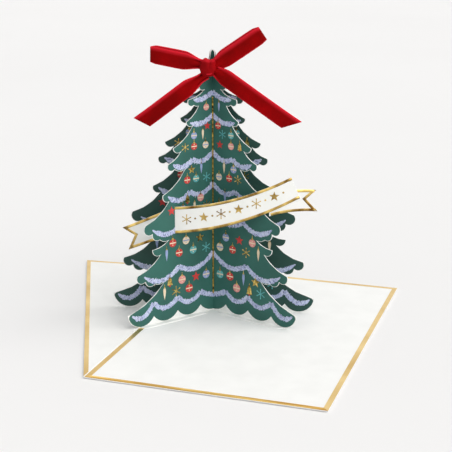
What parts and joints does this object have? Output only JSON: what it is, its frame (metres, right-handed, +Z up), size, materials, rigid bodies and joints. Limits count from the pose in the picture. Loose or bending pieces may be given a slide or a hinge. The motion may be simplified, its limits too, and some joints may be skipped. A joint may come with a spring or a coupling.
{
  "type": "pop-up christmas card",
  "caption": "Open pop-up greeting card: a flat white base with foil borders, tree-shaped sheets standing on it, a paper banner through a slit and a velvet ribbon bow on top.",
  "frame": {"origin": "middle of the base sheet's underside", "axes": "+X along the base's front edge to the right, +Y to its back edge, +Z up to the bow"},
  "size_m": [0.2056, 0.184, 0.1646],
  "materials": {
    "white_card": "uncoated white card with a gold foil border",
    "green_card": "printed dark green card with white cut edges",
    "banner_paper": "smooth white paper with gold foil edges",
    "red_velvet": "short-pile velvet ribbon"
  },
  "bodies": {
    "root": {"base_card": "white_card", "front_tree": "green_card", "back_tree": "green_card", "banner": "banner_paper", "banner_tail": "banner_paper", "ribbon_bow": "red_velvet"}
  },
  "joints": []
}
